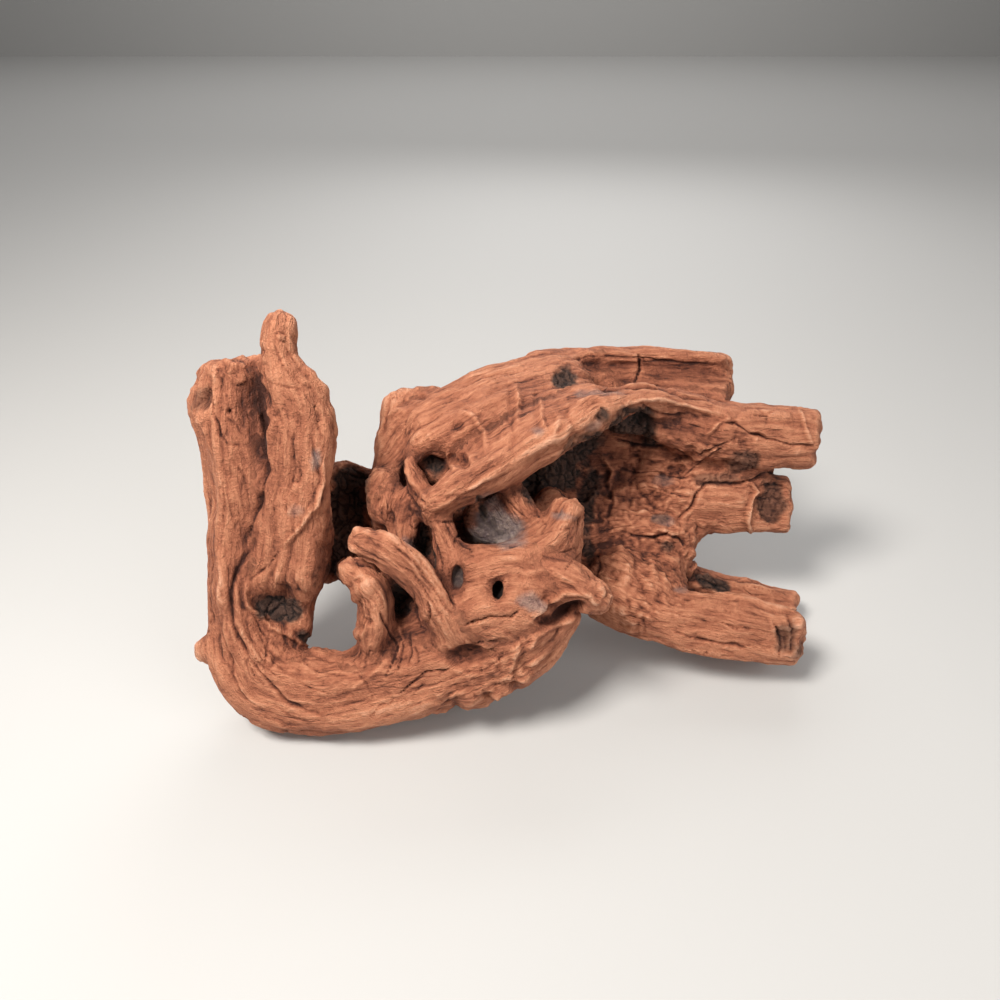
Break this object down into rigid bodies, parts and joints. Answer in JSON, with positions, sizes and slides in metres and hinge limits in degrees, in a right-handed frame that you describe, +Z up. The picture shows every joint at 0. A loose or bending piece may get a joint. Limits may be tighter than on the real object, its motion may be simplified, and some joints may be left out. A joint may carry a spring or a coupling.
{
  "type": "driftwood",
  "caption": "Weathered root-and-stem wood worn hollow, with a tall forked horn at one end and sawn arms at the other, lying on low feet.",
  "frame": {"origin": "middle of the footprint box, on the surface that the wood lies on", "axes": "+Z up; +X from the horn towards the sawn arms; -Y is the show side"},
  "size_m": [0.2612, 0.146, 0.1551],
  "materials": {
    "wood": "dry, weathered, matt"
  },
  "bodies": {
    "root": {"driftwood": "wood"}
  },
  "joints": []
}
